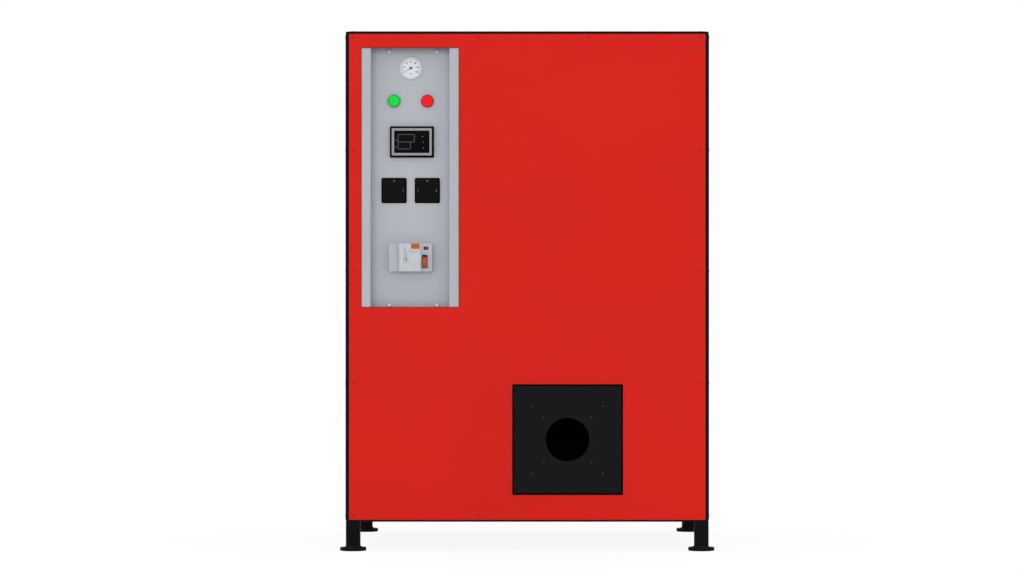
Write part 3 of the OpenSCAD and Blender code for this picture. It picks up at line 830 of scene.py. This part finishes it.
class BuildController(bpy.types.Operator):
    """Adds the controller's housing, its bezel and the screen with its display windows."""

    bl_idname = "boiler.build_controller"
    bl_label = "Controller"

    # The display windows: left, right, top and bottom from the middle of the screen, and how many figures.
    # The lamps right of them: across and up from the middle, and the turn of their stroke.
    WINDOWS = ((-35.2, 7.6, 19.4, -1.2, 4), (-35.2, -2.3, 0.9, -19.0, 3))
    LAMPS = ((26.9, 12.9, 0.45), (28.4, -0.6, 1.4), (28.6, -15.4, 1.4))

    def execute(self, context):
        sizes, colours = chosen(context)
        housing, bezel, screen = (Box("controller_" + part) for part in ("housing", "bezel", "screen"))
        centre, width, height, front = housing.middle, housing.width, housing.height, housing.low.y
        inset = bezel.low.x - housing.low.x - 0.15
        case = lip(1.1, 0.9) + eased(0.4, front) + [(inset - 0.2, front), (inset, front + 0.2), (inset, front + 4)]
        rear = slab(width - 16, height - 16, 2, 0.5, WEB, housing.high.y, centre)
        add_piece("controller_case", [banded(width, height, 1, case, centre), rear],
                  moulded("housing black", scaled(colours.plastic_black, 0.4), 0.5, 0.03),
                  ["controller_housing"])

        inset, front, back = screen.low.x - bezel.low.x - 0.15, bezel.low.y, bezel.high.y
        band = [(0, back)] + eased(0.3, front) + [(inset - 0.3, front), (inset, front + 0.3), (inset, back)]
        add_piece("controller_surround", [banded(bezel.width, bezel.height, 1, band, centre, loop=True)],
                  moulded("bezel grey", colours.bezel, 0.38, 0.25), ["controller_bezel"])

        face, rim = screen.low.y, 3.2
        mask = [(0, screen.high.y), (0, face + 0.7), (rim, face + 0.7), (rim + 0.5, face + 1.4)]
        add_piece("controller_screen_mask", [banded(screen.width, screen.height, 0.5, mask, centre)],
                  gloss("screen mask", linear(3, 3, 4), 0.4, 0.04), ["controller_screen"])
        add_piece("controller_screen_face",
                  [slab(screen.width - 2 * rim, screen.height - 2 * rim, 1, 0.3, face, face + 1.5, centre)],
                  gloss("screen face", linear(7, 7, 9), 0.12, 0.04))

        # Each window's outline stands a hair prouder than the last, so that they don't share a face
        outlines, figures, panes, dots = [], [], [], []
        ink, line = face - 0.1, sizes.window_line
        for left, right, top, bottom, count in self.WINDOWS:
            ink -= 0.02
            width, height = right - left, top - bottom
            place = centre + [(left + right) / 2, (top + bottom) / 2]
            outlines.append(outline_band(width, height, 2.6, line, ink, face, place))
            panes.append(slab(width - 2 * line, height - 2 * line, 0.6, 0.02, face - 0.05, face, place))
            figures += self.figures(place, width - 2 * line, height - 2 * line, count, face)
            dots.append(prism(round_rectangle(4.6, 1.4, 0.5), ink, face,
                              place + [-width / 2 - 3.1, 0.6 - height / 4]))
        for across, up, turn in self.LAMPS:
            step = np.array([math.cos(turn), math.sin(turn)]) * 1.3
            place = centre + [across, up]
            dots.append(bar(place - step, place + step, 1.7, ink, face))
        add_piece("controller_outlines", outlines, printed("outline ink", linear(74, 71, 76)))
        add_piece("controller_windows", panes, gloss("display filter", linear(8, 3, 6), 0.15, 0.04))
        add_piece("controller_figures", figures, printed("unlit segments", linear(23, 10, 13)))
        add_piece("controller_marks", dots, printed("mark ink", linear(120, 125, 122)))
        return {"FINISHED"}

    @staticmethod
    def figures(place, wide, tall, count, face):
        """Seven-segment figures side by side: each is an eight made of six-sided strokes."""
        step, height, stroke = wide * 0.94 / count, tall * 0.68, 1.1
        half, short, long = height / 2, step * 0.58 - stroke, (height - stroke) / 2
        shape = np.array([[-0.5, 0], [-0.42, 0.5], [0.42, 0.5], [0.5, 0], [0.42, -0.5], [-0.42, -0.5]])
        level, upright = shape * [short * 0.96, stroke * 0.8], shape[:, ::-1] * [stroke * 0.8, long * 0.9]
        strokes = [(level, 0, up * (half - stroke / 2)) for up in (-1, 0, 1)]
        strokes += [(upright, side * short / 2, up * long / 2) for side in (-1, 1) for up in (-1, 1)]
        return [prism(outline, face - 0.07, face - 0.04, place + [(number - (count - 1) / 2) * step + across, up])
                for number in range(count) for outline, across, up in strokes]


class BuildSwitches(bpy.types.Operator):
    """Adds the two switch plates with their rims and position marks."""

    bl_idname = "boiler.build_switches"
    bl_label = "Switch plates"

    def execute(self, context):
        _, colours = chosen(context)
        rims, faces, lines, marks = [], [], [], []
        number, backing, rim_width = 4.7, 45, 2.9
        for side, figures in (("left", ((0, 24, "0"), (22.6, 0, "1"))),
                              ("right", ((0, 24, "0"), (-22.6, 0, "1"), (22.6, 0, "2")))):
            plate = Box("switch_plate_" + side)
            centre, width, front = plate.middle, plate.width, plate.low.y
            rim = lip(1.0, 0.8) + eased(1.2, front + 0.9) + [(rim_width - 0.3, front + 0.5),
                                                             (rim_width, front + 0.9), (rim_width + 0.2, front + 2)]
            rims.append(banded(width, width, 3, rim, centre))
            inner = width - 2 * rim_width
            faces.append(slab(inner, inner, 1, 0.35, front, front + 2.2, centre))
            lines.append(outline_band(inner - 1.4, inner - 1.4, 0.8, 0.5, front - 0.1, front + 0.1, centre))
            lines.append(slab(backing, backing, 2, 0.4, WEB + 3.5, plate.high.y, centre))
            marks += [lettering(text, number, 0.1, (centre[0] + across, front - 0.02, centre[1] + up))
                      for across, up, text in figures]
        add_piece("switch_rims", rims, moulded("switch rim black", scaled(colours.plastic_black, 0.2), 0.6, 0.01),
                  ["switch_plate_left", "switch_plate_right"])
        add_piece("switch_faces", faces, moulded("switch black", colours.plastic_black, 0.5, 0.06))
        add_piece("switch_borders", lines, moulded("switch border", scaled(colours.plastic_black, 3.0), 0.4, 0.12))
        add_piece("switch_marks", marks, printed("switch ink", linear(158, 160, 164)))
        return {"FINISHED"}


class BuildBreaker(bpy.types.Operator):
    """Adds the breaker's rounded mouldings, its insert, marks, window and toggle."""

    bl_idname = "boiler.build_breaker"
    bl_label = "Breaker"

    # The printed wiring diagram: both ends of each stroke from the cover's low corner, and its width
    DIAGRAM = ((14.2, 56, 14.2, 49, 0.7), (14.2, 49, 18.6, 41, 0.7), (14.2, 40, 14.2, 24, 0.7),
               (13.0, 53.2, 18.6, 52.4, 1.0), (20.0, 50, 20.0, 24, 0.7), (14.2, 31, 20.0, 31, 0.7),
               (16.4, 34.5, 21.6, 34.5, 1.2), (21.6, 34.5, 21.6, 28, 1.2), (16.4, 28, 21.6, 28, 1.2),
               (14.0, 22.4, 16.4, 22.4, 1.8), (19.4, 22.4, 28.4, 22.4, 0.7), (25.6, 49.2, 48, 49.2, 0.5))

    def execute(self, context):
        _, colours = chosen(context)
        grey = moulded("breaker grey", colours.breaker, 0.42, 0.25)
        softened("breaker_base", "breaker_body", 0.9, grey)
        body, cover, window, toggle = (Box("breaker_" + part) for part in ("body", "cover", "window", "toggle"))
        front, gap = cover.low.y, 2
        lid = slab(cover.width - gap, cover.height, 1.4, 0.9, front, cover.high.y + 2, cover.middle + [gap / 2, 0])
        add_piece("breaker_lid", [lid], moulded("breaker white", colours.cover, 0.4, 0.25),
                  ["breaker_cover"])
        shoulder = body.low.y + 4
        terminal_lid = slab(17.6, 59, 2, 0.5, shoulder - 0.7, shoulder + 0.2,
                            ((body.low.x + cover.low.x) / 2 + 0.3, cover.middle[1] - 0.5))
        add_piece("breaker_terminal_lid", [terminal_lid], grey)
        insert = slab(21.4, 13.2, 0.6, 0.25, front - 0.35, front + 0.5, (cover.high.x - 13.4, cover.high.z - 7))
        add_piece("breaker_insert", [insert], moulded("insert orange", colours.orange, 0.45, 0.2))

        # Each stroke stands a hair prouder than the last, so that crossing ones don't share a face
        ink, paper, start = front - 0.06, front + 0.02, np.array([cover.low.x, cover.low.z])
        prints = [bar(start + [x0, z0], start + [x1, z1], line, ink - 0.004 * number, paper)
                  for number, (x0, z0, x1, z1, line) in enumerate(self.DIAGRAM)]
        prints += [prism(round_rectangle(1.7, 1.7, 0.8), shoulder - 0.05, shoulder + 0.1, (body.low.x + 6.7, up))
                   for up in (702, 721.6)]
        prints += [lettering(text, 3.6, 0.08, (body.high.x - 7.6, body.low.y - 0.02, body.low.z + up))
                   for text, up in (("1", 13), ("0", 7))]
        add_piece("breaker_print", prints, printed("breaker ink", linear(70, 74, 80)))

        finish_nodes(gloss("window red", linear(52, 8, 10), 0.15, 0.1), "breaker_window")
        (across, up), glass = window.middle, window.low.y
        flag = prism(round_rectangle(6.4, 6.0, 0.4), glass - 0.03, glass + 0.02, (across, up))
        add_piece("breaker_window_flag", [flag], printed("window flag", linear(104, 34, 34)))
        add_piece("breaker_window_mark", [lettering("1", 4.2, 0.08, (across + 0.5, glass - 0.03, up), 0.2)],
                  printed("window ink", linear(214, 150, 146)))

        hinge = np.array(frame["joints"][0]["pos_m"]) / MM
        stub = 3.5
        radius, half = (toggle.high.y - toggle.low.y) / 2, toggle.width / 2 - stub - 0.1
        end = around(radius, [(1.4, -half), (0.6, 0.3 - half), (0.2, 1.1 - half), (0.0, 3.0 - half)])
        crown = end + [(size, -along) for size, along in end[::-1]]
        axle = lathe([(2, -half - stub), (2, half + stub)], hinge, "X", 24)
        add_piece("breaker_drum", [self.ribbed(crown, hinge), axle],
                  moulded("toggle orange", colours.drum, 0.45, 0.25), ["breaker_toggle"], "toggle")
        tip, width = radius + 4, 2 * half - 2
        parts = (slab(width, 2.6, 1.2, 0.7, -tip, -9, (0, 0)), slab(width, 3.6, 1.6, 1.0, -tip, 2.6 - tip, (0, 0)))
        raised = Matrix.Rotation(math.radians(-50), 3, "X")
        add_piece("breaker_lever", [turned(part, raised, hinge) for part in parts],
                  moulded("lever black", linear(14, 12, 12), 0.4, 0.15), body="toggle")
        return {"FINISHED"}

    @staticmethod
    def ribbed(section, centre, ribs=24, steps=144):
        """A drum along X with shallow grip ribs: radius plus 0.16 mm cos(ribs t), but not at its ends."""
        radius, along = np.array(section).T[:, :, None]
        turn = circle(steps)
        size = radius + 0.16 * np.cos(ribs * turn) * (abs(along) < along.max() - 1)
        return skin(lay(size * np.cos(turn), size * np.sin(turn), along, "X") + centre)


class BuildBurner(bpy.types.Operator):
    """Finishes the burner plate, the screws in its threaded holes, its edging and the furnace behind it."""

    bl_idname = "boiler.build_burner"
    bl_label = "Burner plate and furnace"

    def execute(self, context):
        sizes, colours = chosen(context)
        softened("burner_mount", "burner_plate", sizes.plate_edge,
                 powder_coat("burner black", colours.burner, 0.5, 0.1, peel=0.04))
        plate = Box("burner_plate")
        patterns = {mount["name"]: mount for mount in frame["record"]["mounts"]}
        radius = sizes.plug_screw / 2
        plugs, inserts = [], []
        for name in ("burner_bolts_inner", "burner_bolts_outer"):
            dims, (x, _, z) = patterns[name]["dims"], np.array(patterns[name]["pos_m"]) / MM
            wide, tall = dims["spacing_x_mm"] / 2, dims["spacing_y_mm"] / 2
            places = [(x + i * wide, plate.low.y, z + j * tall) for i in (-1, 1) for j in (-1, 1)]
            plugs.append(copies(self.plug(radius), places, (0.2, 0.9, 0.5, 1.3)))
            bore, thread = dims["hole_r_mm"] - 0.05, radius + 0.05
            insert = lathe([(bore, 6), (bore, 0.9), (bore - 0.4, 0.6), (thread + 0.3, 0.6), (thread, 0.9),
                            (thread, 6)], steps=48, loop=True)
            inserts.append(copies(insert, places))
        add_piece("burner_plug_screws", plugs, plated("plug screw steel", linear(64, 63, 63), 0.5, 1200.0, 0.3),
                  sharp=30)
        add_piece("burner_thread_inserts", inserts, moulded("insert black", linear(9, 9, 11), 0.5, 0.06))

        # A black edging wraps the cut edge of the panel round the plate, which stands free in its hole
        panel, lap = Box("front_panel").low.y, sizes.edging_lap
        side = plate.width + 2 * (PLATE_GAP + lap)
        edging = outline_band(side, side, 0.6, lap + 0.3, panel - 0.25, panel + 1.5, plate.middle)
        add_piece("burner_edging", [edging], moulded("edging black", linear(22, 9, 9), 0.6, 0.02))
        finish_nodes(sooted("sooted ceramic", linear(30, 28, 27), 40.0, 0.4), "burner_sleeve")
        finish_nodes(sooted("furnace steel", linear(34, 31, 30), 18.0, 0.1, 0.8), "furnace")
        finish_nodes(powder_coat("saddle black", colours.frame, 0.5, 0.12), "furnace_saddles")
        return {"FINISHED"}

    @staticmethod
    def plug(radius, recess=0.9, steps=48):
        """A set screw just inside a bolt hole, with a six-sided socket.

        The socket's radius is across / cos(angle from the nearest side's middle); the screw's edge is chamfered.
        """
        turn, sixth, across = circle(steps), FULL_TURN / 6, 1.4
        socket = across / np.cos((turn + sixth / 2) % sixth - sixth / 2)
        outer = np.full(steps, radius - 0.1)
        rows = [(outer, 6), (outer, recess + 0.4), (outer - 0.4, recess), (socket + 0.25, recess),
                (socket, recess + 0.25), (socket, recess + 3), (socket * 0.1, recess + 3.8)]
        return skin(np.stack([lay(size * np.cos(turn), size * np.sin(turn), along, "Y") for size, along in rows]))


class BuildStage(bpy.types.Operator):
    """Sets up the floor, the backdrop, the lamps and the camera."""

    bl_idname = "boiler.build_stage"
    bl_label = "Stage and camera"

    AMBIENT = 0.84
    KEY = 1.31
    SHADOW_SHARE = 0.18
    FLOOR_REACH = 60.0

    def execute(self, context):
        scene = context.scene
        scene.view_settings.view_transform = "Standard"
        world = bpy.data.worlds.new("pale studio")
        scene.world = world
        sky = Nodes(world)
        strength = self.AMBIENT + (1.0 - self.AMBIENT) * sky.seen()
        light = sky.node("ShaderNodeBackground", None, {"Color": (1, 1, 1, 1), "Strength": strength})
        sky.node("ShaderNodeOutputWorld", None, {"Surface": light})

        mesh = bpy.data.meshes.new("studio_floor")
        corners = [(x * self.FLOOR_REACH, y * self.FLOOR_REACH, 0) for x, y in ((-1, -1), (1, -1), (1, 1), (-1, 1))]
        mesh.from_pydata(corners, [], [(0, 1, 2, 3)])
        pale = Nodes(bpy.data.materials.new("pale floor"))
        shaded = pale.node("ShaderNodeBsdfDiffuse", None, {"Color": (0.86, 0.86, 0.86, 1)})
        lit = pale.node("ShaderNodeEmission", None, {"Color": (1, 1, 1, 1), "Strength": 1.075})
        both = pale.node("ShaderNodeMixShader", None, {0: (1 - self.SHADOW_SHARE) * pale.seen(), 1: shaded, 2: lit})
        pale.node("ShaderNodeOutputMaterial", None, {"Surface": both})
        mesh.materials.append(pale.owner)
        placed("studio_floor", mesh)

        lamp = bpy.data.lights.new("soft key", "SUN")
        lamp.energy, lamp.angle = self.KEY, math.radians(34)
        key = placed("soft key", lamp)
        key.rotation_euler = Vector((0.07, 1.0, -0.03)).to_track_quat("-Z", "Y").to_euler()
        key.visible_glossy = False

        camera = bpy.data.cameras.new("camera")
        camera.lens, camera.sensor_width, camera.shift_x = 119.19, 36.0, -0.0149
        camera.clip_start, camera.clip_end = 0.1, 200.0
        scene.camera = placed("camera", camera)
        scene.camera.location = (0, -8.758, 0.652)
        scene.camera.rotation_euler = (QUARTER_TURN, 0, 0)
        return {"FINISHED"}


BUILDERS = (BuildFrame, BuildPanels, BuildTray, BuildGauge, BuildLamps, BuildController, BuildSwitches,
            BuildBreaker, BuildBurner, BuildStage)


class BoilerPanel(bpy.types.Panel):
    """Lists the boiler's builders, sizes and colours in the sidebar."""

    bl_idname = "VIEW3D_PT_boiler"
    bl_label = "Floor-standing boiler"
    bl_space_type = "VIEW_3D"
    bl_region_type = "UI"
    bl_category = "Boiler"

    def draw(self, context):
        for builder in BUILDERS:
            self.layout.operator(builder.bl_idname)
        for group in (context.scene.boiler_sizes, context.scene.boiler_colours):
            box = self.layout.box()
            for name in group.__annotations__:
                box.prop(group, name)


CLASSES = (BoilerSizes, BoilerColours, *BUILDERS, BoilerPanel)


def register():
    for item in CLASSES:
        bpy.utils.register_class(item)
    bpy.types.Scene.boiler_sizes = PointerProperty(type=BoilerSizes)
    bpy.types.Scene.boiler_colours = PointerProperty(type=BoilerColours)


def unregister():
    del bpy.types.Scene.boiler_colours
    del bpy.types.Scene.boiler_sizes
    for item in reversed(CLASSES):
        bpy.utils.unregister_class(item)


def main():
    """Builds every piece in turn."""
    register()
    for builder in BUILDERS:
        group, name = builder.bl_idname.split(".")
        getattr(getattr(bpy.ops, group), name)()


if __name__ == "__main__":
    main()
